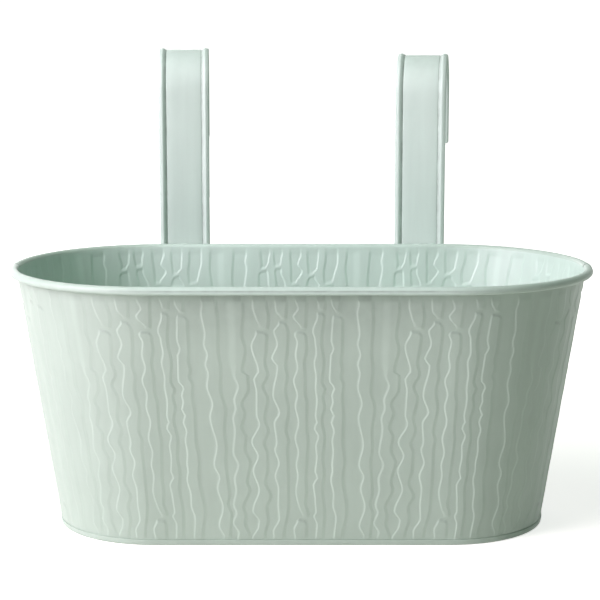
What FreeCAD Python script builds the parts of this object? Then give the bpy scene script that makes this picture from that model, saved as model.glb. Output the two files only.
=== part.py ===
import FreeCAD, Part
import math
import os

# Fence planter: an oval tapered trough of sheet metal with two strap hooks at its back.
# Millimetres, +Z up, front towards -Y. The origin is the centre of the underside of the base.

# Trough
side_flat = 157.5          # straight length of the long sides, the same at rim and base
rim_end_radius = 81.25     # half width of the trough over the rolled rim
base_end_radius = 55.7     # half width over the base band at the floor
body_height = 143.9        # floor to the top of the rolled rim
sheet = 0.5                # thickness of the wall and of the base
bead_radius = 2.4          # outer radius of the rolled rim
bead_slit = 0.3            # gap between the end of the roll and the wall
band_height = 3.2          # height of the base band
fit_gap = 0.1              # gap between sheets that lie against each other
seam_gap = 0.1             # gap between the edges of the two wall halves
seam_lap = 6.0             # reach of the rear half behind the front half
seam_bead_gap = 1.0        # gap from the top of the lap to the rolled rim
drain_radius = 4.0         # drain holes in the floor
drain_spread = 130.0       # distance between the two drain holes

# Strap hooks
hook_inset = 9.25          # keeper's centre to the end of the side's straight length
strap_width = 29.5
strap_sheet = 1.0
edge_roll_radius = 1.0     # rolled edges of the strap
edge_ramp = 4.2            # width of a rolled edge and the slope beside it
throat = 44.0              # clear distance between the two legs
hook_rise = 113.9          # rim to the top of the left hook's arch
rear_leg_drop = 55.4       # top of the arch to the lower end of the rear leg
rear_corner_radius = 1.5
tongue_width = 20.0        # flat lower end of the strap
tongue_bend = 1.5          # inner radius of the bends under the tip
tongue_corner = 4.0        # rounded corners of the tip
shoulder_height = 5.0      # height of the taper from strap to tongue

# Play of the loose hooks, as they stand in their keepers
turn_left = -2.4           # degrees about the vertical
turn_right = 6.8
shift = 0.5                # both hooks stand this far towards +X
drop_right = 3.3           # the right hook hangs lower than the left
strap_rim_gap = 0.4        # least gap between strap and rolled rim
tongue_gap = 0.3           # least gap between tongue and lip when the hook is turned
seat_gap = 0.5             # gap under the lip of the left keeper
tip_gap = 2.8              # gap between the left hook's tip and its keeper's ledge
free_gap = 4.5             # gap between tip and lip when a hook is all the way down
shoulder_gap = 3.5         # gap between shoulders and ledge when a hook is all the way down

# Keepers and rivets
keeper_sheet = 1.2
keeper_width = 24.0
keeper_bend = 1.2          # inner bend radius
ledge_drop = 40.9          # rim to the top of the ledge
lip_height = 19.5          # ledge top to the lower edge of the lip
flange_height = 15.0       # ledge top to the upper edge of the flange, along the wall
keeper_corner = 4.0        # rounded corners of the flange
rivet_spread = 13.0        # distance between a keeper's rivets
rivet_edge = 6.5           # rivets' centres to the upper edge of the flange, along the wall
rivet_radius = 1.6
rivet_hole_gap = 0.1
rivet_head_radius = 3.2
rivet_head_height = 1.5
rivet_tail_radius = 2.8
rivet_tail_height = 0.7

# Smallest difference that counts between two places or lengths
tiny = 1e-5

# Worked out from the sizes above
half_flat = side_flat / 2
bead_r = rim_end_radius - bead_radius
bead_z = body_height - bead_radius
foot_in = base_end_radius - 2 * sheet - fit_gap
foot_to_bead = math.hypot(bead_r - foot_in, bead_z)
wall_lean = math.atan2(bead_r - foot_in, bead_z) - math.asin(bead_radius / foot_to_bead)
lean_sin = math.sin(wall_lean)
lean_cos = math.cos(wall_lean)
wall_foot_z = sheet + fit_gap
bead_sweep = 2 * math.pi - math.acos((bead_radius - sheet - bead_slit) / bead_radius)
hook_x = half_flat - hook_inset
hook_top = body_height + hook_rise
rear_leg_end = hook_top - rear_leg_drop
ledge_height = body_height - ledge_drop
rivet_rise = flange_height - rivet_edge
turn_most = math.radians(max(abs(turn_left), abs(turn_right)))
edge_roll_rise = 2 * edge_roll_radius - strap_sheet
tongue_throat = keeper_sheet + tongue_width * math.sin(turn_most) + 2 * tongue_gap
strap_y = rim_end_radius + strap_rim_gap + edge_roll_rise + strap_width / 2 * math.sin(turn_most)
lip_y = strap_y - tongue_throat / 2
lip_end = ledge_height - lip_height
arch_z = hook_top - throat / 2 - 2 * edge_roll_radius
tongue_bottom = lip_end - seat_gap
tip_z = ledge_height - keeper_sheet - tip_gap
travel = tip_z - lip_end + free_gap
roll_end = ledge_height + travel + shoulder_gap


def vec(x, y, z):
    return FreeCAD.Vector(x, y, z)


def line(a, b):
    return Part.LineSegment(a, b).toShape()


def arc(a, middle, b):
    return Part.Arc(a, middle, b).toShape()


def face(edges):
    return Part.Face(Part.Wire(edges))


def polygon(points):
    return Part.Face(Part.makePolygon(points + points[:1]))


def fused(shapes):
    return shapes[0].fuse(shapes[1:]).removeSplitter()


def wall_r(z, depth):
    """Radius of the wall at height z, at a depth in from its outer side."""
    return foot_in + sheet / lean_cos + (z * lean_sin - depth) / lean_cos


def wall_section(x):
    """Section of the wall and its rolled rim, in the plane of X = x, facing +Y."""
    bead = vec(x, bead_r, bead_z)
    start = math.pi - wall_lean
    end = start - bead_sweep
    middle = (start + end) / 2

    def on_bead(radius, angle):
        return bead + vec(0, radius * math.cos(angle), radius * math.sin(angle))

    inner = bead_radius - sheet
    foot_inner = vec(x, wall_r(wall_foot_z, sheet), wall_foot_z)
    foot_outer = vec(x, wall_r(wall_foot_z, 0), wall_foot_z)
    return face([
        line(foot_inner, on_bead(bead_radius, start)),
        arc(on_bead(bead_radius, start), on_bead(bead_radius, middle), on_bead(bead_radius, end)),
        line(on_bead(bead_radius, end), on_bead(inner, end)),
        arc(on_bead(inner, end), on_bead(inner, middle), on_bead(inner, start)),
        line(on_bead(inner, start), foot_outer),
        line(foot_outer, foot_inner),
    ])


def slope_section(x, near, far, low, high):
    """Section of a layer that follows the wall, between two depths in from its outer side."""
    return polygon([
        vec(x, wall_r(low, near), low),
        vec(x, wall_r(high, near), high),
        vec(x, wall_r(high, far), high),
        vec(x, wall_r(low, far), low),
    ])


def end_turn(section, first, last):
    """Turn a section at X = half_flat about the right end's axis, in degrees from +Y towards +X."""
    axis = vec(half_flat, 0, 0)
    start = section.copy()
    start.rotate(axis, vec(0, 0, -1), first)
    return start.revolve(axis, vec(0, 0, -1), last - first)


def mirrored_x(shape):
    return shape.mirror(vec(0, 0, 0), vec(1, 0, 0))


def half_shell(gap):
    """The half of the wall towards +Y, ending a gap short of the seam's plane at both ends."""
    trim = math.degrees(gap / wall_r(0, 0))
    straight = wall_section(-half_flat).extrude(vec(side_flat, 0, 0))
    end = end_turn(wall_section(half_flat), 0, 90 - trim)
    return fused([straight, end, mirrored_x(end)])


def seam_lap_strip():
    """The lap of the rear half at the right end: a strip behind the front half, joined to its own wall."""
    reach = math.degrees(seam_lap / wall_r(0, 0))
    trim = math.degrees(seam_gap / wall_r(0, 0))
    top = bead_z - bead_radius - seam_bead_gap
    near = sheet + fit_gap
    free = slope_section(half_flat, near, near + sheet, wall_foot_z, top)
    rooted = slope_section(half_flat, sheet / 2, near + sheet, wall_foot_z, top)
    return fused([
        end_turn(free, 90 - trim, 90 + reach),
        end_turn(rooted, 90 - reach, 90 - trim),
    ])


def rivet_frame(x):
    """Placement of a rivet: its origin on the wall's outer side, its Z axis straight out of the wall."""
    z = ledge_height + rivet_rise * lean_cos
    place = vec(x, wall_r(z, 0), z)
    return FreeCAD.Placement(place, FreeCAD.Rotation(vec(0, 0, 1), vec(0, lean_cos, -lean_sin)))


def rivet_hole(x):
    reach = keeper_sheet + sheet
    hole = Part.makeCylinder(rivet_radius + rivet_hole_gap, 4 * reach, vec(0, 0, -2 * reach))
    hole.Placement = rivet_frame(x)
    return hole


def rivet(x):
    dome = (rivet_head_radius ** 2 + rivet_head_height ** 2) / (2 * rivet_head_height)
    ball = Part.makeSphere(dome, vec(0, 0, keeper_sheet + rivet_head_height - dome))
    head_space = Part.makeCylinder(rivet_head_radius, rivet_head_height, vec(0, 0, keeper_sheet))
    shank = Part.makeCylinder(rivet_radius, keeper_sheet + sheet, vec(0, 0, -sheet))
    tail = Part.makeCylinder(rivet_tail_radius, rivet_tail_height, vec(0, 0, -sheet - rivet_tail_height))
    whole = fused([shank, ball.common(head_space), tail])
    whole.Placement = rivet_frame(x)
    return whole


def keeper_rivets(side):
    return [side * hook_x - rivet_spread / 2, side * hook_x + rivet_spread / 2]


def front_panel():
    shell = half_shell(0)
    return shell.mirror(vec(0, 0, 0), vec(0, 1, 0))


def rear_panel():
    strip = seam_lap_strip()
    shell = fused([half_shell(seam_gap), strip, mirrored_x(strip)])
    return shell.cut([rivet_hole(x) for side in (-1, 1) for x in keeper_rivets(side)])


def base_pan():
    band = slope_section(half_flat, -fit_gap - sheet, -fit_gap, 0, band_height)
    floor = polygon([
        vec(half_flat, 0, 0),
        vec(half_flat, wall_r(0, -fit_gap - sheet), 0),
        vec(half_flat, wall_r(sheet, -fit_gap - sheet), sheet),
        vec(half_flat, 0, sheet),
    ])
    pieces = []
    for section in (floor, band):
        straight = section.extrude(vec(-side_flat, 0, 0))
        end = end_turn(section, 0, 180)
        pieces += [straight, straight.mirror(vec(0, 0, 0), vec(0, 1, 0)), end, mirrored_x(end)]
    pan = fused(pieces)
    drains = [
        Part.makeCylinder(drain_radius, 2 * band_height, vec(side * drain_spread / 2, 0, -band_height))
        for side in (-1, 1)
    ]
    return pan.cut(drains)


def bent_strip(corners, bend, thickness, centre_x, width):
    """A strip of sheet on the left of a path through (y, z) corners, with rounded bends.

    The bend radius is that of the inner side of each bend.
    """
    across = vec(width, 0, 0)
    points = [vec(centre_x - width / 2, y, z) for y, z in corners]
    headings = [(b - a).normalize() for a, b in zip(points, points[1:])]

    def cross_section(point, heading):
        through = vec(0, -heading.z, heading.y) * thickness
        return polygon([point, point + across, point + across + through, point + through])

    pieces = []
    run_start = points[0]
    for corner, heading, onward in zip(points[1:], headings, headings[1:]):
        turn = math.atan2(heading.cross(onward).x, heading.dot(onward))
        radius = bend + thickness if turn > 0 else bend
        setback = radius * math.tan(abs(turn) / 2)
        run_end = corner - heading * setback
        left = vec(0, -heading.z, heading.y)
        pivot = run_end + left * math.copysign(radius, turn)
        pieces.append(cross_section(run_start, heading).extrude(run_end - run_start))
        pieces.append(cross_section(run_end, heading).revolve(pivot, vec(1, 0, 0), math.degrees(turn)))
        run_start = corner + onward * setback
    pieces.append(cross_section(run_start, headings[-1]).extrude(points[-1] - run_start))
    return fused(pieces)


def round_corners(shape, radius, low, high, thickness):
    """Round a strip's free corners: its edges through the sheet between two heights."""
    def is_corner(edge):
        across_sheet = abs(edge.Length - thickness) < tiny
        along_width = abs(edge.tangentAt(edge.FirstParameter).x) > tiny
        return low - tiny < edge.CenterOfMass.z < high + tiny and across_sheet and not along_width

    return shape.makeFillet(radius, [edge for edge in shape.Edges if is_corner(edge)])


def keeper(side):
    """A bracket with a flange riveted to the wall, and a ledge with a lip that hangs down from it."""
    flange_top = ledge_height + flange_height * lean_cos
    lip_outer = lip_y + keeper_sheet / 2
    strip = bent_strip(
        [
            (lip_outer, lip_end),
            (lip_outer, ledge_height),
            (wall_r(ledge_height, -keeper_sheet), ledge_height),
            (wall_r(flange_top, -keeper_sheet), flange_top),
        ],
        keeper_bend, keeper_sheet, side * hook_x, keeper_width,
    )
    strip = round_corners(strip, keeper_corner, ledge_height, body_height, keeper_sheet)
    return strip.cut([rivet_hole(x) for x in keeper_rivets(side)])


def strap_section():
    """Section of the strap across its length: a flat web with a roll along each edge, facing -Y."""
    roll_x = strap_width / 2 - edge_roll_radius
    foot_x = strap_width / 2 - edge_ramp
    dx = roll_x - foot_x
    dv = edge_roll_radius - strap_sheet
    slope = math.atan2(dv, dx) + math.asin(edge_roll_radius / math.hypot(dx, dv))

    def at(x, rise):
        return vec(x, strap_sheet - rise, 0)

    def side_edges(side):
        crest_x = roll_x - edge_roll_radius * math.sin(slope)
        crest_rise = edge_roll_radius + edge_roll_radius * math.cos(slope)
        under = at(side * roll_x, 0)
        crest = at(side * crest_x, crest_rise)
        roll = arc(under, at(side * strap_width / 2, edge_roll_radius), crest)
        return [roll, line(crest, at(side * foot_x, strap_sheet))]

    web = [
        line(at(-roll_x, 0), at(roll_x, 0)),
        line(at(-foot_x, strap_sheet), at(foot_x, strap_sheet)),
    ]
    return face(Part.__sortEdges__(web + side_edges(-1) + side_edges(1)))


def shouldered_blank(low, high):
    """A thick plate with the front leg's outline, which tapers to the tongue at its lower end."""
    half = strap_width / 2
    deep = 4 * edge_roll_radius
    outline = polygon([
        vec(-tongue_width / 2, -deep, low),
        vec(tongue_width / 2, -deep, low),
        vec(half, -deep, low + shoulder_height),
        vec(half, -deep, high),
        vec(-half, -deep, high),
        vec(-half, -deep, low + shoulder_height),
    ])
    return outline.extrude(vec(0, 2 * deep, 0))


def rounded_blank(low, high, middle_y):
    """A thick plate with the rear leg's outline, which has rounded corners at its lower end."""
    deep = 4 * edge_roll_radius
    corner = vec(-strap_width / 2, middle_y - deep, low)
    plate = Part.makeBox(strap_width, 2 * deep, high - low, corner)
    return round_corners(plate, rear_corner_radius, low, low, 2 * deep)


def hook():
    """The left hook's strap, not yet turned: the front of its web is on Y = 0, its middle on X = 0."""
    section = strap_section()
    rear_y = 2 * strap_sheet + throat
    arch_axis = vec(0, rear_y / 2, arch_z)
    section.translate(vec(0, 0, arch_z))
    arch = section.revolve(arch_axis, vec(-1, 0, 0), 180)
    front = section.extrude(vec(0, 0, roll_end - arch_z))
    front = front.common(shouldered_blank(roll_end, arch_z))
    rear = section.copy()
    rear.rotate(arch_axis, vec(1, 0, 0), 180)
    rear = rear.extrude(vec(0, 0, rear_leg_end - arch_z))
    rear = rear.common(rounded_blank(rear_leg_end, arch_z, rear_y))
    tip_y = -tongue_throat - strap_sheet
    bend_z = tongue_bottom - strap_sheet
    tongue = bent_strip(
        [
            (tip_y, tip_z),
            (tip_y, bend_z),
            (strap_sheet, bend_z),
            (strap_sheet, roll_end),
        ],
        tongue_bend, strap_sheet, 0, tongue_width,
    )
    tongue = round_corners(tongue, tongue_corner, tip_z, tip_z, strap_sheet)
    return fused([front, arch, rear, tongue])


def standing_hook(side):
    """A hook as it stands in its keeper, with its play."""
    shape = hook()
    turn = turn_left if side < 0 else turn_right
    drop = 0 if side < 0 else drop_right
    shape.rotate(vec(0, 0, 0), vec(0, 0, 1), -turn)
    shape.translate(vec(side * hook_x + shift, strap_y, -drop))
    return shape


def main():
    os.makedirs("parts", exist_ok=True)
    nodes = {
        "front_panel": front_panel(),
        "rear_panel": rear_panel(),
        "base_pan": base_pan(),
    }
    for name, side in (("left", -1), ("right", 1)):
        nodes["keeper_" + name] = keeper(side)
        nodes["hook_" + name] = standing_hook(side)
        for number, x in enumerate(keeper_rivets(side), 1):
            nodes[f"rivet_{name}_{number}"] = rivet(x)
    for name, shape in nodes.items():
        print(name, "valid", shape.isValid(), "solids", len(shape.Solids), "volume", round(shape.Volume, 1))
        shape.exportStep(f"parts/{name}.step")


main()
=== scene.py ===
import math
from collections import namedtuple

import bmesh
import bpy
import numpy as np
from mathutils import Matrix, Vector


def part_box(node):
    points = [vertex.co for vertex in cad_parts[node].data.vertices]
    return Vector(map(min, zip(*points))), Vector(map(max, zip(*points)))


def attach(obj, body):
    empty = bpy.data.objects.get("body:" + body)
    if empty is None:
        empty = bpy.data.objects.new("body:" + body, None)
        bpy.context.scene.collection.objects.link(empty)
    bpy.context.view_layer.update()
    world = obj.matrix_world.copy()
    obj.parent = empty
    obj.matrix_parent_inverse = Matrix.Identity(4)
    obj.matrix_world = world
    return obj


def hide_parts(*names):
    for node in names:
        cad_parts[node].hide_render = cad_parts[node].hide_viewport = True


# Fence planter: an oval tapered trough with a bark-like embossed wall and two strap hooks.
# Sizes are in millimetres and meshes in metres. +Z is up and the front faces -Y.

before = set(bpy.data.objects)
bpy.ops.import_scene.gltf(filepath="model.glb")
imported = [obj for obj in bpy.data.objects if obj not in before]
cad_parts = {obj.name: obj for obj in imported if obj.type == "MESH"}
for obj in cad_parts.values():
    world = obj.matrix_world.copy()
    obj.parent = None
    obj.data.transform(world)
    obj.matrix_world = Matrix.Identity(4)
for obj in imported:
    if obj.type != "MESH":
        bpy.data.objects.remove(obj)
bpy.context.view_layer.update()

MM = 0.001


def box_mm(node):
    """A node's box in millimetres, as its low and its high corner."""
    low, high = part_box(node)
    return low / MM, high / MM


# Trough: the outline comes from the frame, the sheet's own sizes are the part's
front_low, front_high = box_mm("front_panel")
base_high = box_mm("base_pan")[1]
sheet = 0.5                # thickness of the wall and of the base
fit_gap = 0.1              # gap between sheets that lie against each other
bead_radius = 2.4          # outer radius of the rolled rim
bead_slit = 0.3            # gap between the end of the roll and the wall
rim_crease = 0.24          # depth of a faint crease along the roll
rim_crease_angle = 3       # its place on the roll, in degrees above the horizontal
rim_crease_width = 9       # how far it fades to either side, in degrees
rim_shade = 1.5             # how dark the painted shade on the roll is beside the crease
rim_shade_angle = 5         # degrees from the crease up to the darkest painted shade
rim_lit_share = 1.0             # share of the inner side's lighter painted copy on the rim, a painted highlight
rim_end_lit_share = 0.3         # the same round the trough's ends, where the crease fades too
rim_end_start = 60.0       # the change lies between these distances along the rim from its middle
rim_end_full = 110.0
rim_tuck = 0.42            # the roll is tucked in by this much on its lower side
rim_tuck_start = 20        # the tuck begins this many degrees below the horizontal
rim_tuck_reach = 60        # and is full this many degrees further down
rim_end_radius = -front_low.y
half_flat = front_high.x - rim_end_radius
body_height = front_high.z
band_height = base_high.z
wall_foot_z = sheet + fit_gap
bead_r = rim_end_radius - bead_radius
bead_z = body_height - bead_radius
band_to_bead = bead_radius - 2 * sheet - fit_gap
band_reach = math.hypot(bead_r - base_high.y, bead_z - band_height)
wall_lean = math.atan2(bead_r - base_high.y, bead_z - band_height) - math.asin(band_to_bead / band_reach)
lean_sin = math.sin(wall_lean)
lean_cos = math.cos(wall_lean)
drain_radius = 4.0
drain_spread = 130.0       # distance between the two drain holes
seam_gap = 0.1             # gap between the edges of the two wall halves
rim_seam_gap = 1.4         # gap between the two halves of the rolled rim
seam_lap = 6.0             # reach of the rear half behind the front half
seam_bead_gap = 1.0        # gap between the top of that lap and the rolled rim

# Relief of the wall: raised bands that repeat along the sheet
relief_height = 0.30
repeat = 77.6              # distance between equal bands
most_repeats = 4           # repeats to either side of the middle that are tried
seam_clear = 8.0           # bands keep this far from the seams
rear_shift = 3.5           # the rear half's bands start this far along from the front half's
fan = 0.0006               # bands draw closer by this share for each millimetre down
fan_middle = 72.0          # height at which offsets are given
outer_slopes = (0.9, 1.5)  # width of the slopes on a band's left and right, on the outer side
inner_slopes = (1.1, 1.1)
wide_slope = [(140, 5.0), (104, 4.6), (93, 1.2)]   # width by height, on the last band's left side
relief_top = 138.8         # bands end under the rolled rim and above the base band
relief_bottom = 3.4
top_end = 4.5              # height of the slopes where bands end
inner_top = 141.5          # on the inner side, bands end here at the rim
inner_top_end = 4.0
inner_share = 1.15         # height of the relief on the inner side as a share of that on the outer side
bottom_end = 1.3
dimple_z = 134.8           # the upper ends of the bands dip into the outer side from here up
dimple_slope = 1.8
dimple_depth = 0.08
# painted shade in the dips under the rim
dimple_shade = 1.1
dimple_start = 45.0        # the dips fade out between these distances along the wall from its middle
dimple_none = 80.0
under_rim_shade = 0.6      # share of painted shadow of the rim on the wall just under it, fading out downwards
under_rim_shade_z = 108.0
ledge_slope = 0.35         # fall of a ledge's height for each millimetre up at which the ledge is painted fully darker
break_half = 0.6           # half width of the flat of a break across a band
break_slope = 1.0
# A break widens towards the band's left edge in its upper part and towards the right edge in its
# lower part, each as (most extra width, share of the band's width, power of the curve)
outer_flares = [(3.8, 0.34, 1.2), (1.2, 0.4, 2.0)]
inner_flares = [(2.2, 0.35, 2.0), (0.8, 0.3, 2.0)]
# Edges of the bands as (height, offset), first the left edge and then the right one
bands = [
    (
        [(134, -24.2), (124, -22.1), (119, -22.7), (112, -25.2), (98, -21.9), (94, -24.3), (87, -23.1),
         (74, -23.3), (69, -21.9), (59, -26.2), (51, -23.0), (43, -25.8), (32, -22.8), (20, -26.5),
         (14, -23.2), (11, -23.6), (4, -27.0)],
        [(135, -17.4), (128, -16.3), (117, -17.2), (110, -17.6), (103, -18.6), (96, -17.0), (90, -19.9),
         (83, -17.2), (72, -19.1), (65, -17.2), (58, -19.7), (53, -17.9), (43, -17.9), (36, -19.5),
         (28, -16.2), (22, -18.9), (15, -18.0), (6, -20.0)],
    ),
    (
        [(138, -13.2), (130, -12.6), (127, -11.1), (124, -11.3), (120, -13.7), (113, -12.1), (105, -14.9),
         (101, -12.2), (85, -14.6), (75, -11.3), (70, -14.1), (58, -13.0), (55, -14.0), (47, -11.9),
         (40, -14.0), (32, -12.3), (24, -12.7), (15, -12.1), (8, -15.5), (5, -15.2)],
        [(138, -7.0), (125, -7.7), (119, -6.6), (109, -7.0), (101, -8.1), (95, -7.0), (88, -8.2),
         (77, -6.5), (65, -8.1), (60, -6.6), (55, -7.3), (43, -6.9), (23, -6.8), (5, -9.6)],
    ),
    (
        [(138, -3.2), (132, -1.6), (128, -3.9), (122, -1.1), (118, -3.3), (114, -2.0), (107, -2.9),
         (100, -1.8), (93, -3.9), (85, -2.0), (79, -3.1), (70, -1.4), (61, -3.2), (53, -1.5),
         (46, -2.7), (40, -1.8), (31, -2.9), (17, -0.2), (14, -2.1), (9, -4.0), (4, -3.3)],
        [(138, 2.8), (128, 2.3), (120, 2.1), (110, 2.8), (103, 1.5), (93, 2.1), (86, 1.9), (81, 3.1),
         (67, 2.9), (60, 3.7), (46, 3.0), (38, 2.5), (31, 3.0), (24, 2.2), (18, 3.9), (13, 2.9), (4, 3.0)],
    ),
    (
        [(138, 7.4), (135, 8.1), (132, 7.7), (128, 8.1), (120, 5.8), (115, 7.0), (108, 7.7), (103, 6.6),
         (95, 7.6), (89, 7.3), (82, 8.1), (73, 7.4), (70, 8.3), (67, 6.9), (62, 9.1), (57, 7.7),
         (50, 8.3), (42, 7.5), (39, 8.8), (35, 6.6), (26, 7.6), (19, 8.1), (17, 7.0), (12, 8.7), (4, 8.2)],
        [(138, 12.2), (129, 11.5), (114, 10.2), (103, 11.7), (92, 10.6), (88, 12.5), (84, 11.1),
         (78, 12.3), (72, 10.8), (60, 12.4), (50, 11.5), (42, 12.4), (32, 11.6), (19, 12.9), (4, 12.2)],
    ),
    (
        [(139, 14.5), (134, 15.2), (130, 16.2), (125, 15.6), (115, 15.1), (110, 16.4), (107, 14.9),
         (93, 14.5), (89, 17.1), (85, 15.8), (81, 16.4), (77, 15.3), (74, 17.1), (70, 15.8), (65, 17.3),
         (60, 16.3), (53, 17.0), (46, 16.4), (43, 16.8), (38, 16.0), (29, 17.6), (23, 17.4), (16, 19.1),
         (4, 18.2)],
        [(139, 19.8), (132, 18.9), (126, 20.7), (110, 20.8), (103, 20.1), (99, 21.2), (95, 20.1),
         (91, 21.9), (84, 21.2), (74, 22.2), (60, 21.9), (47, 23.4), (40, 22.4), (19, 25.0), (6, 22.9)],
    ),
    (
        [(138, 27.8), (134, 28.5), (130, 27.8), (118, 29.2), (113, 28.4), (107, 30.0), (102, 28.7),
         (97, 30.0), (90, 29.0), (80, 31.5), (73, 29.9), (57, 32.8), (46, 30.9), (39, 33.6), (33, 32.2),
         (22, 34.8), (11, 32.2), (5, 34.9)],
        [(138, 35.1), (125, 36.1), (109, 35.5), (100, 36.7), (88, 35.9), (77, 38.4), (65, 37.2),
         (55, 37.9), (48, 37.2), (29, 38.8), (24, 37.6), (18, 39.4), (4, 38.3)],
    ),
    (
        [(131, 42.5), (112, 42.7), (105, 42.4), (96, 43.1), (90, 45.1), (82, 42.8), (78, 43.5),
         (72, 41.9), (66, 42.7), (53, 41.4), (46, 43.9), (38, 41.6), (32, 42.3), (23, 40.6), (19, 42.0),
         (13, 40.2), (7, 43.0), (4, 42.3)],
        [(138, 48.2), (130, 48.8), (118, 47.6), (110, 49.4), (98, 47.3), (96, 50.3), (88, 50.4),
         (80, 46.6), (75, 48.3), (67, 46.1), (62, 48.6), (55, 47.7), (47, 50.5), (36, 48.5), (32, 49.9),
         (22, 46.0), (17, 47.2), (13, 46.7), (4, 49.4)],
    ),
]
# Breaks across the bands as (band, height at its left edge, height at its right edge)
breaks = [
    (0, 121.0, 119.8), (1, 126.2, 125.2), (2, 120.6, 120.2), (3, 130.8, 130.2), (4, 129.4, 128.6),
    (2, 15.9, 15.1),
]

# Where the relief ends at the top of a face: height, height of the slope there, share of the relief
relief_ends = {
    "outer": (relief_top, top_end, 1),
    "rim": (relief_top, top_end, 0),
    "inner": (inner_top, inner_top_end, inner_share),
}
# Rows of the wall's mesh as (height up to which, distance between rows), closest where breaks are
outer_stretches = [(12, 1.3), (20, 0.8), (116, 1.85), (134, 0.6)]
top_row_step = 0.75        # distance between rows from there up to the rim
inner_row_start = 139.6    # rows down the inner side start here, and their steps are negative
inner_stretches = [(116, -0.75), (98, -1.8), (2, -4.8)]
roll_inside_rows = 8       # rows round the inside and the outside of the rolled rim
roll_outside_rows = 32

# Strap hooks, as they stand in their keepers
hook_inset = 9.25          # from the end of the trough's straight sides in to a strap's middle
hook_x = half_flat - hook_inset
strap_width = 29.5
strap_sheet = 1.0
roll_top = 2.0             # height of the rolled edges over the strap's inner face
roll_under = 0.9           # width of the rounding under a rolled edge
# A rolled edge as (distance in from the edge, height over the inner face), up to its crest and on
# down to a crease along the flat of the strap
roll_outside = [(0.05, 1.2), (0.2, 1.4), (0.45, 1.55), (0.9, 1.70), (1.4, 1.85), (1.85, 1.97)]
roll_inside = [(2.05, 2.0), (2.25, 1.967), (2.5, 1.88), (3.0, 1.645), (3.5, 1.38), (3.95, 1.11),
               (4.4, 0.79), (4.65, 0.885), (4.9, 0.975), (5.05, 1.0)]
crease_start = 2.6         # painted shade darkens the crease, between these distances in from the edge
crease_foot = 4.4
crease_end = 4.75
hook_crease_shade = 1.6     # how dark the painted shade in the crease is
throat = 44.0              # clear depth of the arch
hook_rise = 113.9          # rim to the top of the left hook's arch
rear_leg_drop = 55.4       # top of the arch to the end of the rear leg
hook_top = body_height + hook_rise
arch_z = hook_top - throat / 2 - roll_top
rear_leg_end = hook_top - rear_leg_drop
rear_corner_radius = 1.5
tongue_width = 20.0
tongue_bend = 1.5
tongue_corner = 4.0
shoulder_height = 5.0
roll_start = 6.0           # length over which the rolled edges rise from the flat tongue
hook_shift = 0.5           # both hooks stand this far towards +X
hook_places = {"left": (-1, -2.4, 0.0), "right": (1, 6.8, 3.3)}   # side, turn in degrees, drop
turn_most = math.radians(max(abs(turn) for side, turn, drop in hook_places.values()))

# Keepers and rivets
keeper_sheet = 1.2
keeper_width = 24.0
keeper_bend = 1.2
keeper_corner = 4.0
lip_corner = 2.0
ledge_drop = 40.9          # rim to the top of the ledge
lip_height = 19.5          # top of the ledge to the lower edge of the lip
ledge_z = body_height - ledge_drop
lip_end = ledge_z - lip_height
flange_height = 15.0       # top of the ledge to the upper edge of the flange, along the wall
rivet_spread = 13.0        # distance between a keeper's rivets
rivet_edge = 6.5           # rivets' centres to the upper edge of the flange
rivet_radius = 1.6
rivet_head_radius = 3.2
rivet_head_height = 1.5
rivet_tail_radius = 2.8
rivet_tail_height = 0.7
# The hollow in the end of a rivet's tail as (radius, depth as a share of the tail's height)
rivet_hollow = [(1.2, 1), (0.7, 0.5), (0.02, 0.4)]
pad_edge = 0.48            # the relief is flattened this far round a keeper's flange
pad_slope = 1.6            # and rises to its height over this width

# Where the hooks' lower ends and the keepers' lips meet
strap_rim_gap = 0.4        # least gap between strap and rolled rim
tongue_gap = 0.3           # least gap between tongue and lip when the hook is turned
seat_gap = 0.5             # gap under the lip of the left keeper
tip_gap = 2.8              # gap between the left hook's tip and its keeper's ledge
shoulder_rise = 23.5       # top of the ledge to the foot of the taper from tongue to strap
strap_y = rim_end_radius + strap_rim_gap + roll_top - strap_sheet + strap_width / 2 * math.sin(turn_most)
tongue_throat = keeper_sheet + tongue_width * math.sin(turn_most) + 2 * tongue_gap
lip_y = strap_y - tongue_throat / 2
tongue_bottom = lip_end - seat_gap
tip_z = ledge_z - keeper_sheet - tip_gap
shoulder_z = ledge_z + shoulder_rise


# Shapes shared by several pieces

def smooth(t):
    """0 below 0, 1 above 1 and a smooth rise between them."""
    t = np.clip(t, 0, 1)
    return t * t * (3 - 2 * t)


def wavy(points, heights):
    """The value at each height on a line that swings smoothly from point to point."""
    points = sorted(points)
    z = np.array([p[0] for p in points], float)
    value = np.array([p[1] for p in points], float)
    heights = np.clip(heights, z[0], z[-1])
    after = np.clip(np.searchsorted(z, heights), 1, len(z) - 1)
    share = smooth((heights - z[after - 1]) / (z[after] - z[after - 1]))
    return value[after - 1] + (value[after] - value[after - 1]) * share


def wall_r(z, depth):
    """Radius of the plain wall at height z, at a depth in from its outer side."""
    inner_foot = bead_r - bead_radius / lean_cos - (bead_z * lean_sin) / lean_cos
    return inner_foot + (z * lean_sin + sheet - depth) / lean_cos


middle_r = wall_r(fan_middle, 0)


def on_oval(along, radius):
    """Plan position at a distance along the front half from its middle.

    The radius is measured from the axes of the rounded ends.
    """
    turn = np.maximum(np.abs(along) - half_flat, 0) / middle_r
    x = np.clip(along, -half_flat, half_flat) + np.sign(along) * radius * np.sin(turn)
    return x, -radius * np.cos(turn)


def grid_faces(rows, columns, closed_rows=False, closed_columns=False):
    """Four-cornered faces of a grid of points that is stored row by row."""
    last_row = rows if closed_rows else rows - 1
    last_column = columns if closed_columns else columns - 1
    faces = []
    for r in range(last_row):
        low = r * columns
        high = (r + 1) % rows * columns
        for c in range(last_column):
            onward = (c + 1) % columns
            faces.append((low + c, low + onward, high + onward, high + c))
    return faces


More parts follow.
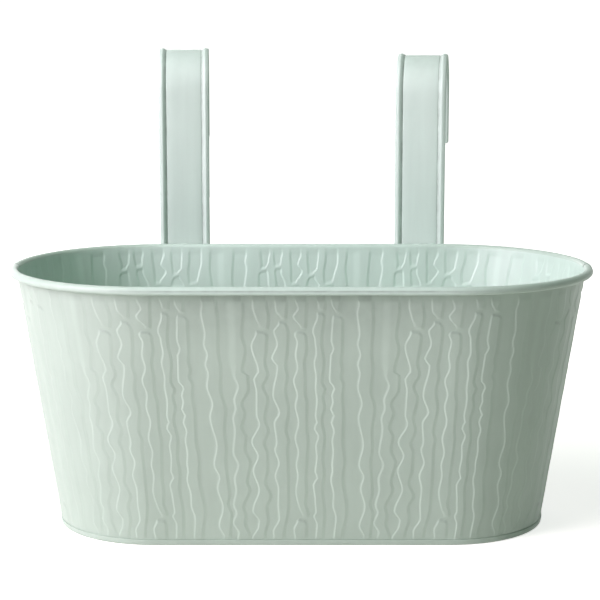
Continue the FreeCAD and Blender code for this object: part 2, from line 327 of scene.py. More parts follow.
def sheet_faces(rows, columns):
    """Faces of a grid that closes from its last row to its first, with both sides filled."""
    faces = grid_faces(rows, columns, closed_rows=True)
    faces.append([r * columns for r in range(rows)])
    faces.append([r * columns + columns - 1 for r in range(rows)])
    return faces


def tube_faces(rows, columns):
    """Faces of a grid that closes from its last column to its first, with both ends filled."""
    faces = grid_faces(rows, columns, closed_columns=True)
    faces.append(list(range(columns)))
    faces.append([(rows - 1) * columns + c for c in range(columns)])
    return faces


def add_piece(name, points, faces, material, body, replaced=(), crease=50):
    """A smooth mesh piece from points in millimetres, riding on a body."""
    mesh = bpy.data.meshes.new(name)
    mesh.from_pydata([tuple(p) for p in np.asarray(points) * MM], [], faces)
    shape = bmesh.new()
    shape.from_mesh(mesh)
    bmesh.ops.recalc_face_normals(shape, faces=shape.faces)
    shape.to_mesh(mesh)
    shape.free()
    mesh.polygons.foreach_set("use_smooth", [True] * len(mesh.polygons))
    mesh.set_sharp_from_angle(angle=math.radians(crease))
    mesh.materials.append(material)
    piece = bpy.data.objects.new(name, mesh)
    bpy.context.scene.collection.objects.link(piece)
    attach(piece, body)
    if replaced:
        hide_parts(*replaced)
    return piece


# Materials: a noise's scale is about the number of its waves in a metre
noise_range = (0.3, 0.7)   # the part of a noise's values that is used
streak_scale = 190
streak_stretch = (1, 1, 0.07)   # draws the streaks out upright
cloud_scale = 26
tone_range = (0.97, 1.025)   # of streaks and of clouds
edge_paling = 0.06         # how much paler the paint is along raised edges
darkening_scale = 160
darkening_range = (0.14, 0.3)   # how much darker the painted shade and the upward-facing ledges are
gloss_scale = 70
gloss_range = (-0.04, 0.05)   # change of roughness
peel_scale = 650
peel_height = 0.0002
peel_strength = 0.12
paint_ior = 1.5


def paint(name, colour, roughness, seed, inner=None):
    """Satin mint paint: cloudy and streaky tone, faint orange peel, paler raised edges, darker
    upward-facing ledges of the relief, and painted shade under the rim and in creases and dips.

    The inner colour is a lighter copy of the paint, painted light for brighter-lit places; it shows where
    a piece's attribute "inner" is 1.
    """
    material = bpy.data.materials.new(name)
    material.use_nodes = True
    nodes = material.node_tree.nodes
    links = material.node_tree.links
    shader = nodes["Principled BSDF"]
    place = nodes.new("ShaderNodeTexCoord").outputs["Object"]

    def noise(scale, detail, at=place):
        made = nodes.new("ShaderNodeTexNoise")
        made.noise_dimensions = "4D"
        made.inputs["W"].default_value = seed
        made.inputs["Scale"].default_value = scale
        made.inputs["Detail"].default_value = detail
        links.new(at, made.inputs["Vector"])
        return made.outputs["Fac"]

    def ranged(value, low, high):
        made = nodes.new("ShaderNodeMapRange")
        made.inputs["From Min"].default_value = noise_range[0]
        made.inputs["From Max"].default_value = noise_range[1]
        made.inputs["To Min"].default_value = low
        made.inputs["To Max"].default_value = high
        links.new(value, made.inputs["Value"])
        return made.outputs["Result"]

    def combined(operation, *values):
        made = nodes.new("ShaderNodeMath")
        made.operation = operation
        for socket, value in zip(made.inputs, values):
            if isinstance(value, float):
                socket.default_value = value
            else:
                links.new(value, socket)
        return made.outputs["Value"]

    def attribute(kind):
        made = nodes.new("ShaderNodeAttribute")
        made.attribute_name = kind
        return made.outputs["Fac"]

    def colours(blend, a, b, factor):
        made = nodes.new("ShaderNodeMix")
        made.data_type = "RGBA"
        made.blend_type = blend
        for socket, value in (("Factor", factor), ("A", a), ("B", b)):
            if isinstance(value, (float, tuple)):
                made.inputs[socket].default_value = value
            else:
                links.new(value, made.inputs[socket])
        return made.outputs["Result"]

    upright = nodes.new("ShaderNodeMapping")
    upright.inputs["Scale"].default_value = streak_stretch
    links.new(place, upright.inputs["Vector"])
    streaks = ranged(noise(streak_scale, 2, upright.outputs["Vector"]), *tone_range)
    clouds = combined("MULTIPLY", ranged(noise(cloud_scale, 4), *tone_range), streaks)
    thin = combined("MULTIPLY_ADD", attribute("edge"), edge_paling, 1.0)
    # Painted shade, read from the attribute "ledge": the wall under the rim, the rim's crease, the dips
    # and the hooks' creases, and darker upward-facing ledges of the relief
    painted_darkening = combined("MULTIPLY", attribute("ledge"), ranged(noise(darkening_scale, 2), *darkening_range))
    tone = combined("MULTIPLY", combined("MULTIPLY", clouds, thin), combined("SUBTRACT", 1.0, painted_darkening))
    plain = (*colour, 1)
    # Painted light: the lighter copy of the paint where the attribute "inner" asks for it
    if inner:
        plain = colours("MIX", plain, (*inner, 1), attribute("inner"))
    links.new(colours("MULTIPLY", plain, tone, 1.0), shader.inputs["Base Color"])
    glosses = [roughness + change for change in gloss_range]
    links.new(ranged(noise(gloss_scale, 3), *glosses), shader.inputs["Roughness"])
    peel = nodes.new("ShaderNodeBump")
    peel.inputs["Strength"].default_value = peel_strength
    peel.inputs["Distance"].default_value = peel_height
    links.new(noise(peel_scale, 2), peel.inputs["Height"])
    links.new(peel.outputs["Normal"], shader.inputs["Normal"])
    shader.inputs["IOR"].default_value = paint_ior
    return material


def mark(piece, kind, values):
    """Give each point of a piece a value that its paint reads."""
    layer = piece.data.attributes.new(kind, "FLOAT", "POINT")
    layer.data.foreach_set("value", np.asarray(values, np.float32).ravel())


# Painted light: the inner side and the hooks get lighter copies of the outer side's mint, standing in for
# more light on them
mint = (0.445, 0.56, 0.478)
lit_inner_mint = (0.58, 0.728, 0.646)
lit_hook_mint = (0.645, 0.779, 0.706)
wall_roughness = 0.42
hook_roughness = 0.5
wall_paint = paint("wall_paint", mint, wall_roughness, 1.0, lit_inner_mint)
base_paint = paint("base_paint", mint, wall_roughness, 2.0, lit_inner_mint)
keeper_paint = paint("keeper_paint", mint, wall_roughness, 3.0)
rivet_paint = paint("rivet_paint", mint, wall_roughness, 4.0)
hook_paint = paint("hook_paint", lit_hook_mint, hook_roughness, 5.0)


# Wall halves with their rolled rim

def half_length(trim):
    """Distance along the sheet from the middle to a seam, less a trim at the seam."""
    return half_flat + middle_r * math.pi / 2 - trim


def shown_bands(shift):
    """The bands that fit between the seams, as (number, offset of its repeat), from left to right."""
    edge = half_length(0) - seam_clear
    found = []
    for count in range(-most_repeats, most_repeats + 1):
        for number, (left, right) in enumerate(bands):
            start = shift + count * repeat
            if min(p[1] for p in left) + start > -edge and max(p[1] for p in right) + start < edge:
                found.append((number, start))
    return found


def fanned(offset, z):
    """An offset as it is at height z, where the bands have drawn closer or apart."""
    return offset + fan * (z - fan_middle) * np.clip(offset, -half_flat, half_flat)


def break_gap(number, share, z, flares):
    """1 on a band and 0 in the breaks across it, at shares of the band's width."""
    widths = [
        most * np.clip(1 - from_edge / reach, 0, 1) ** power
        for (most, reach, power), from_edge in zip(flares, (share, 1 - share))
    ]
    gap = np.ones(len(share))
    for band, left_z, right_z in breaks:
        if band == number:
            centre = left_z + (right_z - left_z) * share
            flare = np.where(z > centre, *widths)
            gap = gap * smooth((np.abs(z - centre) - break_half - flare) / break_slope)
    return gap


# Columns of the relief's mesh, across a band's left slope, its right slope, its top and the ground
left_across = np.array([0, 1 / 3, 2 / 3, 1])
right_across = np.array([0, 0.5, 1])
top_share = np.array([0.06, 0.2, 0.4, 0.65, 0.9])
ground_share = np.array([0.12, 0.88])


def relief_columns(z, shift, reach, slopes, flares):
    """Places along the sheet at one height, and how raised each is, from seam to seam.

    The columns follow the edges of the bands, so that every row has as many of them.
    """
    z = min(max(z, relief_bottom), relief_top)
    places = []
    raised = []
    ground_from = -reach
    for number, start in shown_bands(shift):
        left_points, right_points = bands[number]
        left = fanned(start + wavy(left_points, z), z)
        right = fanned(start + wavy(right_points, z), z)
        left_width = wavy(wide_slope, z) if number == len(bands) - 1 else slopes[0]
        rise = left + (left_across - 0.5) * left_width
        fall = right + (right_across - 0.5) * slopes[1]
        top = rise[-1] + top_share * (fall[0] - rise[-1])
        share = np.clip((np.concatenate([rise, top, fall]) - left) / (right - left), 0, 1)
        profile = np.concatenate([smooth(left_across), np.ones(len(top)), smooth(1 - right_across)])
        places += [ground_from + ground_share * (rise[0] - ground_from), rise, top, fall]
        raised += [np.zeros(len(ground_share)), profile * break_gap(number, share, z, flares)]
        ground_from = fall[-1]
    places.append(ground_from + ground_share * (reach - ground_from))
    raised.append(np.zeros(len(ground_share)))
    places = np.concatenate([[-reach], *places, [reach]])
    return places, np.concatenate([[0], *raised, [0]])


def keeper_pads(x, z):
    """1 outside and 0 inside the places where the keepers' flanges lie on the rear wall."""
    beside = np.abs(np.abs(x) - hook_x) - keeper_width / 2
    above = abs(z - ledge_z - flange_height / 2) - flange_height / 2
    return smooth((np.maximum(beside, above) - pad_edge) / pad_slope)


# A row of the wall's mesh: its radius and height, the height at which its columns are taken, the
# face it is on ("outer", "rim" or "inner"), and what the rim's crease adds to its radius and height
Row = namedtuple("Row", "radius z column_z face crease_r crease_z", defaults=[0, 0])


def stepped(start, stretches):
    """Heights from a start through stretches, each given as (its end, distance between heights)."""
    heights = []
    for end, step in stretches:
        heights += list(np.arange(start, end, step))
        start = end
    return heights


def wall_rows():
    """The wall's section as rows.

    They go up the outer side, round the inside of the roll and back, and down the inner side.
    """
    start = math.pi - wall_lean
    sweep = 2 * math.pi - math.acos((bead_radius - sheet - bead_slit) / bead_radius)
    roll_in = bead_radius - sheet
    outer_end = bead_z + roll_in * math.sin(start)
    inner_start = bead_z + bead_radius * math.sin(start)
    least_step = 0.3       # least distance between the last two rows under the roll
    top_stretch = (outer_end - least_step, top_row_step)
    outer_z = stepped(wall_foot_z, [*outer_stretches, top_stretch]) + [outer_end]
    inner_z = [inner_start] + stepped(inner_row_start, inner_stretches) + [wall_foot_z]
    rows = [Row(wall_r(z, 0), z, z, "outer") for z in outer_z]
    for turn in np.linspace(0, sweep, roll_inside_rows)[1:]:
        c, s = math.cos(start - turn), math.sin(start - turn)
        rows.append(Row(bead_r + roll_in * c, bead_z + roll_in * s, relief_top, "rim"))
    for turn in np.linspace(sweep, 0, roll_outside_rows)[:-1]:
        c, s = math.cos(start - turn), math.sin(start - turn)
        degrees = math.degrees(start - turn)
        crease = rim_crease * math.exp(-((degrees - rim_crease_angle) / rim_crease_width) ** 2)
        radius = bead_radius - rim_tuck * smooth((-degrees - rim_tuck_start) / rim_tuck_reach)
        place = (bead_r + radius * c, bead_z + radius * s)
        rows.append(Row(*place, relief_top, "rim", -crease * c, -crease * s))
    return rows + [Row(wall_r(z, sheet), z, z, "inner") for z in inner_z]


def rim_crease_shade(row):
    """How dark the painted shade on a row of the rolled rim is, most of all just above its crease."""
    if row.radius <= bead_r:
        return 0
    degrees = math.degrees(math.atan2(row.z - bead_z, row.radius - bead_r))
    away = (degrees - rim_crease_angle - rim_shade_angle) / rim_crease_width
    return rim_shade * math.exp(-away ** 2)


def wall_half(name, node, trim, rim_trim, shift, side):
    """One half of the wall as a closed sheet, with side -1 for the front and 1 for the rear."""
    points = []
    edges = []
    heights = []
    painted_darkening = []
    lit_shares = []
    rows = wall_rows()
    for row in rows:
        reach = half_length(rim_trim if row.face == "rim" else trim)
        form = (inner_slopes, inner_flares) if row.face == "inner" else (outer_slopes, outer_flares)
        along, raised = relief_columns(row.column_z, shift, reach, *form)
        if side > 0:
            raised = raised * keeper_pads(on_oval(along, row.radius)[0], row.z)
        top, fade, share = relief_ends[row.face]
        ends = smooth((top - row.z) / fade) * smooth((row.z - relief_bottom) / bottom_end)
        central = 1 - smooth((np.abs(along) - dimple_start) / (dimple_none - dimple_start))
        dip = raised * central * smooth((row.z - dimple_z) / dimple_slope) * (row.face == "outer")
        height = relief_height * share * ends * raised - dimple_depth * dip
        straight = 1 - smooth((np.abs(along) - rim_end_start) / (rim_end_full - rim_end_start))
        x, y = on_oval(along, row.radius + height / lean_cos + row.crease_r * straight)
        points.append(np.stack([-side * x, -side * y, row.z + row.crease_z * straight], axis=1))
        edges.append(4 * raised * (1 - raised) * ends)
        heights.append(height)
        # Painted shade: the rim's shadow on the wall under it, shade beside the rim's crease and in the
        # dips. Painted light: the rim's share of the inner side's lighter copy of the paint
        under_rim = smooth((row.z - under_rim_shade_z) / (relief_top - under_rim_shade_z))
        painted_shade, tone = {
            "outer": (under_rim_shade * straight * under_rim, 0),
            "rim": (rim_crease_shade(row) * straight, rim_end_lit_share + (rim_lit_share - rim_end_lit_share) * straight),
            "inner": (0, 1),
        }[row.face]
        painted_darkening.append(np.maximum(dip * dimple_shade, painted_shade))
        lit_shares.append(tone + np.zeros(len(along)))
    columns = len(points[0])
    faces = sheet_faces(len(rows), columns)
    piece = add_piece(name, np.concatenate(points), faces, wall_paint, "trough", [node])
    outer_z = [row.z for row in rows if row.face == "outer"]
    count = len(outer_z)
    # The relief is painted darker where its slopes face up, together with the painted shade
    fall = np.zeros((len(rows), columns))
    fall[:count] = -np.gradient(np.array(heights[:count]), outer_z, axis=0)
    ledges = np.maximum(np.clip(fall / ledge_slope, 0, 1), np.array(painted_darkening))
    mark(piece, "edge", edges)
    mark(piece, "ledge", ledges)
    mark(piece, "inner", lit_shares)
    return piece


wall_half("front_wall", "front_panel", 0, 0, 0, -1)
wall_half("rear_wall", "rear_panel", seam_gap, rim_seam_gap, rear_shift, 1)


def seam_lap_strip(name, side):
    """A strip behind the front half at one seam, which the rear half carries."""
    row_count = 30
    column_count = 17
    near = sheet + fit_gap
    top = bead_z - bead_radius - seam_bead_gap
    rows = [(near, z) for z in np.linspace(wall_foot_z, top, row_count)]
    rows += [(near + sheet, z) for z in np.linspace(top, wall_foot_z, row_count)]
    along = side * (half_length(0) + np.linspace(-seam_lap, seam_lap, column_count))
    points = []
    for depth, z in rows:
        x, y = on_oval(along, wall_r(z, depth))
        points.append(np.stack([x, y, np.full(len(x), z)], axis=1))
    faces = sheet_faces(len(rows), len(along))
    piece = add_piece(name, np.concatenate(points), faces, wall_paint, "trough")
    # Painted light: the lap gets the inner side's lighter copy of the paint
    mark(piece, "inner", np.ones(len(rows) * len(along)))
    return piece


seam_lap_strip("seam_lap_left", -1)
seam_lap_strip("seam_lap_right", 1)


# Base pan

def oval_loop(radius, z, end_steps=40, side_steps=14):
    """A closed loop of points round the trough at one radius and height."""
    turns = np.linspace(-math.pi / 2, math.pi / 2, end_steps, endpoint=False)
    straight = np.linspace(half_flat, -half_flat, side_steps, endpoint=False)
    right = np.stack([half_flat + radius * np.cos(turns), radius * np.sin(turns)], axis=1)
    rear = np.stack([straight, np.full(side_steps, radius)], axis=1)
    half = np.concatenate([right, rear])
    loop = np.concatenate([half, -half])
    return np.column_stack([loop, np.full(len(loop), z)])


def rounded(centre_r, centre_z, radius, first, last, steps):
    """Points (radius, height) on an arc, with angles in degrees from outwards to up."""
    angles = np.radians(np.linspace(first, last, steps))
    return [(centre_r + radius * math.cos(a), centre_z + radius * math.sin(a)) for a in angles]


def base_pan():
    """The floor with its drain holes, and the band that is turned up round the wall's foot."""
    outer = -fit_gap - sheet
    inner = -fit_gap
    corner = 1.1           # outer radius of the bend from floor to band
    floor_edge = 5.0       # the flat of the floor is filled from this far inside the bend
    hole_steps = 36
    lip = sheet / 2
    tolerance = 0.01
    lean = math.degrees(wall_lean)
    corner_r = wall_r(corner, outer + corner * lean_cos)
    lip_z = band_height - lip
    section = [(corner_r - floor_edge, sheet)]
    section += rounded(corner_r, corner, corner - sheet, -90, -lean, 5)
    section += rounded(wall_r(lip_z, (outer + inner) / 2), lip_z, lip, 180, 0, 9)
    section += rounded(corner_r, corner, corner, -lean, -90, 9)
    section.append((corner_r - floor_edge, 0))
    loops = [oval_loop(r, z) for r, z in section]
    columns = len(loops[0])
    shape = bmesh.new()
    verts = [[shape.verts.new(p * MM) for p in loop] for loop in loops]
    for low, high in zip(verts, verts[1:]):
        for c in range(columns):
            onward = (c + 1) % columns
            shape.faces.new((low[c], low[onward], high[onward], high[c]))
    drains = []
    for z, ring in ((sheet, verts[0]), (0, verts[-1])):
        edges = [shape.edges.get((ring[c], ring[(c + 1) % columns])) for c in range(columns)]
        holes = []
        for side in (-1, 1):
            turns = np.linspace(0, 2 * math.pi, hole_steps, endpoint=False)
            x = side * drain_spread / 2 + drain_radius * np.cos(turns)
            y = drain_radius * np.sin(turns)
            hole = [shape.verts.new(Vector((across, deep, z)) * MM) for across, deep in zip(x, y)]
            edges += [shape.edges.new((a, b)) for a, b in zip(hole, hole[1:] + hole[:1])]
            holes.append(hole)
        bmesh.ops.triangle_fill(shape, use_beauty=True, edges=edges)
        drains.append(holes)
    for top, under in zip(*drains):
        for a, b, c, d in zip(top, top[1:] + top[:1], under[1:] + under[:1], under):
            shape.faces.new((a, b, c, d))
    shape.verts.index_update()
    points = [np.array(v.co) / MM for v in shape.verts]
    faces = [[v.index for v in f.verts] for f in shape.faces]
    shape.free()
    piece = add_piece("base", points, faces, base_paint, "trough", ["base_pan"])
    # Painted light: the floor's upper side gets the inner side's lighter copy of the paint
    mark(piece, "inner", [abs(z - sheet) < tolerance for x, y, z in points])
    return piece


base_pan()


# Bent strips: hooks and keepers

def bent_path(corners, radii, step):
    """Points along straight runs joined by arcs in the (y, z) plane, with their left-hand normals."""
    least_run = 1e-6
    least_steps = 8        # of an arc
    corners = [np.array(c, float) for c in corners]
    headings = [(b - a) / np.linalg.norm(b - a) for a, b in zip(corners, corners[1:])]
    points = []
    normals = []

    def run(a, b, heading):
        count = max(int(np.linalg.norm(b - a) / step), 1)
        for share in np.linspace(0, 1, count + 1):
            points.append(a + (b - a) * share)
            normals.append(np.array([-heading[1], heading[0]]))

    at = corners[0]
    for corner, heading, onward, radius in zip(corners[1:], headings, headings[1:], radii):
        turn = math.atan2(heading[0] * onward[1] - heading[1] * onward[0], heading @ onward)
        setback = radius * math.tan(abs(turn) / 2)
        arc_start = corner - heading * setback
        if np.linalg.norm(arc_start - at) > least_run:
            run(at, arc_start, heading)
        left = np.array([-heading[1], heading[0]])
        pivot = arc_start + left * math.copysign(radius, turn)
        steps = max(int(abs(turn) * radius / step), least_steps)
        for share in np.linspace(0, 1, steps + 1)[1:-1]:
            c, s = math.cos(turn * share), math.sin(turn * share)
            spin = np.array([[c, -s], [s, c]])
            points.append(pivot + spin @ (arc_start - pivot))
            normals.append(spin @ left)
        at = corner + onward * setback
    run(at, corners[-1], headings[-1])
    return np.array(points), np.array(normals)


def corner_width(half_width, radius, distance):
    """Half width of a strip near an end with rounded corners."""
    inset = np.clip(radius - distance, 0, radius)
    return half_width - radius + np.sqrt(radius ** 2 - inset ** 2)


def fine_ends(path, normals, first_radius, last_radius):
    """The path with extra rows close to its two ends, where rounded corners are."""
    shares = np.array([0.004, 0.02, 0.05, 0.1, 0.16, 0.24, 0.34, 0.46, 0.6, 0.76])
    first_heading = (path[1] - path[0]) / np.linalg.norm(path[1] - path[0])
    last_heading = (path[-2] - path[-1]) / np.linalg.norm(path[-2] - path[-1])
    first = path[0] + np.outer(shares * first_radius, first_heading)
    last = path[-1] + np.outer(shares[::-1] * last_radius, last_heading)
    from_first = np.linalg.norm(path - path[0], axis=1)
    from_last = np.linalg.norm(path - path[-1], axis=1)
    keep = (from_first > first_radius) & (from_last > last_radius)
    count = len(shares) + 1
    path = np.concatenate([path[:1], first, path[keep], last, path[-1:]])
    normals = np.concatenate([
        np.repeat(normals[:1], count, axis=0), normals[keep], np.repeat(normals[-1:], count, axis=0),
    ])
    return path, normals


def edge_shapes(thickness):
    """A strip's edge as (distance in from the edge, height over the inner face), rolled and plain."""
    half = thickness / 2
    under_steps = 6
    under = np.radians(np.linspace(-90, 0, under_steps))
    rolled = [(roll_under * (1 - math.cos(t)), strap_sheet * (1 + math.sin(t))) for t in under]
    rolled += roll_outside + roll_inside
    plain = []
    for share in np.linspace(0, 1, len(under) + len(roll_outside)):
        t = math.radians(-90 + 180 * share)
        plain.append((half * (1 - math.cos(t)), half * (1 + math.sin(t))))
    plain += [(inward, thickness) for inward, rise in roll_inside]
    return np.array(rolled), np.array(plain)


web_columns = 4            # columns across the flat of a strip, on each of its faces
least_half = 0.05          # half width that is always left between a strip's edges


def strip(path, normals, half_widths, rolls, thickness):
    """Points and faces of a bent strip, with its edges rolled by a share from 0 to 1 along the path."""
    rolled, plain = edge_shapes(thickness)
    points = []
    for (y, z), (ny, nz), half, roll in zip(path, normals, half_widths, rolls):
        edge = plain + (rolled - plain) * roll
        inset = np.minimum(edge[:, 0], half - least_half)
        web = half - inset[-1]
        back = half - inset[0]
        x = np.concatenate([
            half - inset, np.linspace(web, -web, web_columns + 2)[1:-1],
            (inset - half)[::-1], np.linspace(-back, back, web_columns + 2)[1:-1],
        ])
        rise = np.concatenate([
            edge[:, 1], np.full(web_columns, thickness), edge[::-1, 1], np.zeros(web_columns),
        ])
        points.append(np.stack([x, y + ny * rise, z + nz * rise], axis=1))
    return np.concatenate(points), tube_faces(len(points), len(points[0]))


def crease_shade(points, half_widths, rolls):
    """How much painted shade each point of a strap gets, in the creases beside its rolled edges."""
    columns = len(points) // len(half_widths)
    inward = np.repeat(half_widths, columns) - np.abs(points[:, 0])
    painted_darkening = np.minimum((inward - crease_start) / (crease_foot - crease_start),
                      (crease_end - inward) / (crease_end - crease_foot))
    outside = np.tile(np.arange(columns) < columns - web_columns, len(half_widths))
    return hook_crease_shade * np.clip(painted_darkening, 0, 1) * outside * np.repeat(rolls, columns)


def hook(name, node, body, side, turn, drop):
    """A strap hook from its upturned tongue over the arch to its rear leg, with its play."""
    half = strap_width / 2
    rear_y = strap_sheet + throat
    arch_in = throat / 2
    tip_y = -tongue_throat - strap_sheet
    bend_z = tongue_bottom - strap_sheet
    bend = tongue_bend + strap_sheet
    path, normals = bent_path(
        [
            (tip_y, tip_z), (tip_y, bend_z), (strap_sheet, bend_z),
            (strap_sheet, arch_z + arch_in), (rear_y, arch_z + arch_in), (rear_y, rear_leg_end),
        ],
        [bend, bend, arch_in, arch_in], step=1.0,
    )
    path, normals = fine_ends(path, normals, tongue_corner, rear_corner_radius)
    slack = 0.1            # a point this close behind the upright run still belongs to it
    before_arch = path[:, 0] < strap_sheet + slack
    height = np.where(before_arch, path[:, 1], arch_z)
    taper = np.clip((height - shoulder_z) / shoulder_height, 0, 1)
    tongue_half = corner_width(tongue_width / 2, tongue_corner, np.linalg.norm(path - path[0], axis=1))
    strap_half = corner_width(half, rear_corner_radius, np.linalg.norm(path - path[-1], axis=1))
    half_widths = tongue_half + (strap_half - tongue_half) * taper
    rolls = smooth((height - shoulder_z) / roll_start)
    points, faces = strip(path, normals, half_widths, rolls, strap_sheet)
    # Painted shade in the creases beside the rolled edges
    painted_darkening = crease_shade(points, half_widths, rolls)
    angle = math.radians(-turn)
    c, s = math.cos(angle), math.sin(angle)
    x = c * points[:, 0] - s * points[:, 1] + side * hook_x + hook_shift
    y = s * points[:, 0] + c * points[:, 1] + strap_y
    points = np.stack([x, y, points[:, 2] - drop], axis=1)
    piece = add_piece(name, points, faces, hook_paint, body, [node], crease=35)
    mark(piece, "ledge", painted_darkening)
    return piece


for name, (side, turn, drop) in hook_places.items():
    hook("strap_" + name, "hook_" + name, name + "_hook", side, turn, drop)


def keeper(name, node, side):
    """A bracket on the rear wall: a riveted flange, a ledge and a lip that a hook's tongue catches."""
    flange_top = ledge_z + flange_height * lean_cos
    lip_outer = lip_y + keeper_sheet / 2
    path, normals = bent_path(
        [
            (lip_outer, lip_end), (lip_outer, ledge_z),
            (wall_r(ledge_z, -keeper_sheet), ledge_z), (wall_r(flange_top, -keeper_sheet), flange_top),
        ],
        [keeper_bend + keeper_sheet, keeper_bend], step=0.8,
    )
    path, normals = fine_ends(path, normals, lip_corner, keeper_corner)
    half = keeper_width / 2
    lip_half = corner_width(half, lip_corner, np.linalg.norm(path - path[0], axis=1))
    flange_half = corner_width(half, keeper_corner, np.linalg.norm(path - path[-1], axis=1))
    half_widths = np.minimum(lip_half, flange_half)
    points, faces = strip(path, normals, half_widths, np.zeros(len(path)), keeper_sheet)
    points[:, 0] += side * hook_x
    return add_piece(name, points, faces, keeper_paint, "trough", [node], crease=35)


def rivet(name, node, x):
    """A domed rivet through a keeper's flange and the wall, with its flattened tail inside."""
    dome = (rivet_head_radius ** 2 + rivet_head_height ** 2) / (2 * rivet_head_height)
    open_angle = math.asin(rivet_head_radius / dome)
    head_z = keeper_sheet + rivet_head_height - dome
    least_radius = 0.02    # of the ring round the axis
    head_edge = 0.1        # the head is undercut by this much
    first_share = 0.12     # of the dome's angle, at the first ring round the axis
    dome_rings = 12
    tail_rings = 9
    round_steps = 40
    profile = [(least_radius, head_z + dome)]
    for angle in np.linspace(first_share, 1, dome_rings) * open_angle:
        profile.append((dome * math.sin(angle), head_z + dome * math.cos(angle)))
    profile.append((rivet_head_radius - head_edge, keeper_sheet))
    profile += [(rivet_radius, keeper_sheet), (rivet_radius, -sheet)]
    tail_round = rivet_tail_height / 2
    for angle in np.radians(np.linspace(90, -90, tail_rings)):
        profile.append((rivet_tail_radius - tail_round + tail_round * math.cos(angle),
                        -sheet - tail_round + tail_round * math.sin(angle)))
    profile += [(radius, -sheet - share * rivet_tail_height) for radius, share in rivet_hollow]
    z = ledge_z + (flange_height - rivet_edge) * lean_cos
    origin = np.array([x, wall_r(z, 0), z])
    axis = np.array([0, lean_cos, -lean_sin])
    across = np.array([1, 0, 0])
    upward = np.cross(across, axis)
    turns = np.linspace(0, 2 * math.pi, round_steps, endpoint=False)
    points = [
        origin + axis * height + (across * math.cos(t) + upward * math.sin(t)) * radius
        for radius, height in profile
        for t in turns
    ]
    faces = tube_faces(len(profile), len(turns))
    return add_piece(name, points, faces, rivet_paint, "trough", [node], crease=40)


for name, (side, turn, drop) in hook_places.items():
    keeper("bracket_" + name, "keeper_" + name, side)
    for number, offset in enumerate((-rivet_spread / 2, rivet_spread / 2), 1):
        rivet(f"rivet_head_{name}_{number}", f"rivet_{name}_{number}", side * hook_x + offset)


# Stage: sizes and places are in metres here
floor_size = 40.0          # from the middle of the floor to its sides
floor_colour = (0.82, 0.80, 0.755, 1)
floor_glow = (0.72, 1.0)   # near the object and away from it
glow_near = 0.25           # the glow changes between these distances from the middle
glow_far = 0.7
world_colour = (0.75, 1.0, 0.82, 1)
world_light = 0.15
lit_point = (0, 0, 0.1)    # the lamps face this point
cool = (0.87, 1.0, 0.9)
rosy = (1.0, 0.83, 0.975)
neutral = (0.95, 0.97, 0.94)
pale_rose = (1.0, 0.9, 0.97)
# Lamps as (name, place, width, power, colour)
lamps = [
    ("left_softbox", (-1.139, -0.658, 0.579), 0.8, 12.3, rosy),
    ("side_softbox", (-0.973, -0.433, 0.846), 0.8, 3.8, rosy),
    ("high_left_softbox", (-0.667, -0.503, 1.096), 0.8, 4.5, neutral),
    ("over_softbox", (-0.66, -0.26, 1.56), 1.0, 4.8, cool),
    ("front_left_softbox", (-0.977, -0.88, 0.58), 0.8, 3.4, rosy),
    ("rear_softbox", (-0.5, 1.35, 0.35), 0.9, 4.6, pale_rose),
]


def seen_rays(nodes, links):
    """1 for rays that show a surface: from the camera, in a reflection or through glass."""
    path = nodes.new("ShaderNodeLightPath")
    found = path.outputs["Is Camera Ray"]
    for kind in ("Is Glossy Ray", "Is Transmission Ray"):
        most = nodes.new("ShaderNodeMath")
        most.operation = "MAXIMUM"
        links.new(found, most.inputs[0])
        links.new(path.outputs[kind], most.inputs[1])
        found = most.outputs[0]
    return found


def pale_floor():
    """A pale floor that looks white where nothing shades it and keeps the object's shadow."""
    mesh = bpy.data.meshes.new("floor")
    corners = [(x * floor_size, y * floor_size, 0) for x, y in ((-1, -1), (1, -1), (1, 1), (-1, 1))]
    mesh.from_pydata(corners, [], [(0, 1, 2, 3)])
    floor = bpy.data.objects.new("floor", mesh)
    bpy.context.scene.collection.objects.link(floor)
    material = bpy.data.materials.new("floor_white")
    material.use_nodes = True
    nodes = material.node_tree.nodes
    links = material.node_tree.links
    nodes.clear()
    out = nodes.new("ShaderNodeOutputMaterial")
    matt = nodes.new("ShaderNodeBsdfDiffuse")
    matt.inputs["Color"].default_value = floor_colour
    glow = nodes.new("ShaderNodeEmission")
    both = nodes.new("ShaderNodeAddShader")
    seen = nodes.new("ShaderNodeMixShader")
    links.new(matt.outputs[0], both.inputs[0])
    links.new(glow.outputs[0], both.inputs[1])
    links.new(seen_rays(nodes, links), seen.inputs["Fac"])
    links.new(matt.outputs[0], seen.inputs[1])
    links.new(both.outputs[0], seen.inputs[2])
    links.new(seen.outputs[0], out.inputs["Surface"])
    place = nodes.new("ShaderNodeTexCoord")
    reach = nodes.new("ShaderNodeVectorMath")
    reach.operation = "LENGTH"
    away = nodes.new("ShaderNodeMapRange")
    away.interpolation_type = "SMOOTHSTEP"
    away.inputs["From Min"].default_value = glow_near
    away.inputs["From Max"].default_value = glow_far
    away.inputs["To Min"].default_value = floor_glow[0]
    away.inputs["To Max"].default_value = floor_glow[1]
    links.new(place.outputs["Object"], reach.inputs[0])
    links.new(reach.outputs["Value"], away.inputs["Value"])
    links.new(away.outputs["Result"], glow.inputs["Strength"])
    mesh.materials.append(material)


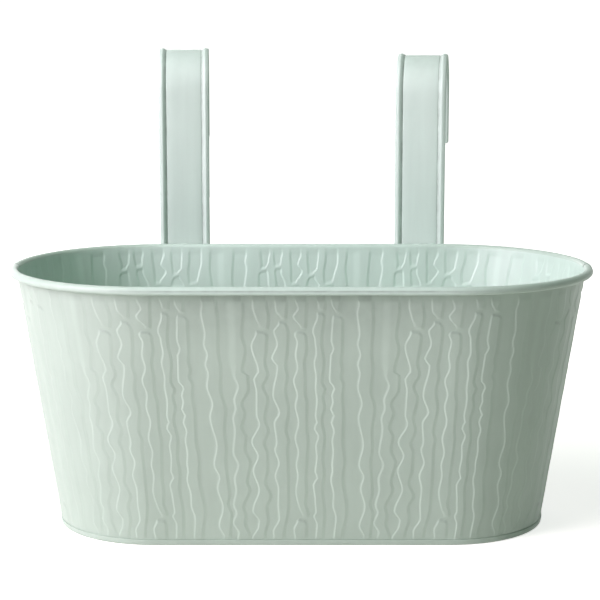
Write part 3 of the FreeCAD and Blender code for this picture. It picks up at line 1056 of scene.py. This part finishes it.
def white_world():
    """A dim even world that shows as white behind the object."""
    world = bpy.data.worlds.new("studio")
    bpy.context.scene.world = world
    world.use_nodes = True
    nodes = world.node_tree.nodes
    links = world.node_tree.links
    nodes.clear()
    out = nodes.new("ShaderNodeOutputWorld")
    dim = nodes.new("ShaderNodeBackground")
    dim.inputs["Color"].default_value = world_colour
    dim.inputs["Strength"].default_value = world_light
    white = nodes.new("ShaderNodeBackground")
    white.inputs["Color"].default_value = (1, 1, 1, 1)
    white.inputs["Strength"].default_value = 1.0
    seen = nodes.new("ShaderNodeMixShader")
    links.new(seen_rays(nodes, links), seen.inputs["Fac"])
    links.new(dim.outputs[0], seen.inputs[1])
    links.new(white.outputs[0], seen.inputs[2])
    links.new(seen.outputs[0], out.inputs["Surface"])


def softbox(name, place, size, power, colour):
    """A square lamp that faces the object and isn't seen by the camera."""
    light = bpy.data.lights.new(name, "AREA")
    light.shape = "RECTANGLE"
    light.size = size
    light.size_y = size
    light.energy = power
    light.color = colour
    lamp = bpy.data.objects.new(name, light)
    bpy.context.scene.collection.objects.link(lamp)
    lamp.location = place
    lamp.rotation_euler = (Vector(lit_point) - Vector(place)).to_track_quat("-Z", "Y").to_euler()
    lamp.visible_camera = False


pale_floor()
white_world()
for lamp in lamps:
    softbox(*lamp)


# Camera, fitted to the photograph

def camera():
    distance = 1.05297
    pitch = math.radians(9.72)
    target = Vector((0, 0, 0.12367))
    image_size = 600
    focal_pixels = 1905.25
    centre_pixel = 301.29
    data = bpy.data.cameras.new("camera")
    data.sensor_width = 36
    data.lens = focal_pixels / image_size * data.sensor_width
    data.shift_x = (image_size / 2 - centre_pixel) / image_size
    eye = target + Vector((0, -math.cos(pitch), math.sin(pitch))) * distance
    made = bpy.data.objects.new("camera", data)
    bpy.context.scene.collection.objects.link(made)
    made.location = eye
    made.rotation_euler = (target - eye).to_track_quat("-Z", "Y").to_euler()
    bpy.context.scene.camera = made


camera()
bpy.context.scene.view_settings.view_transform = "Standard"
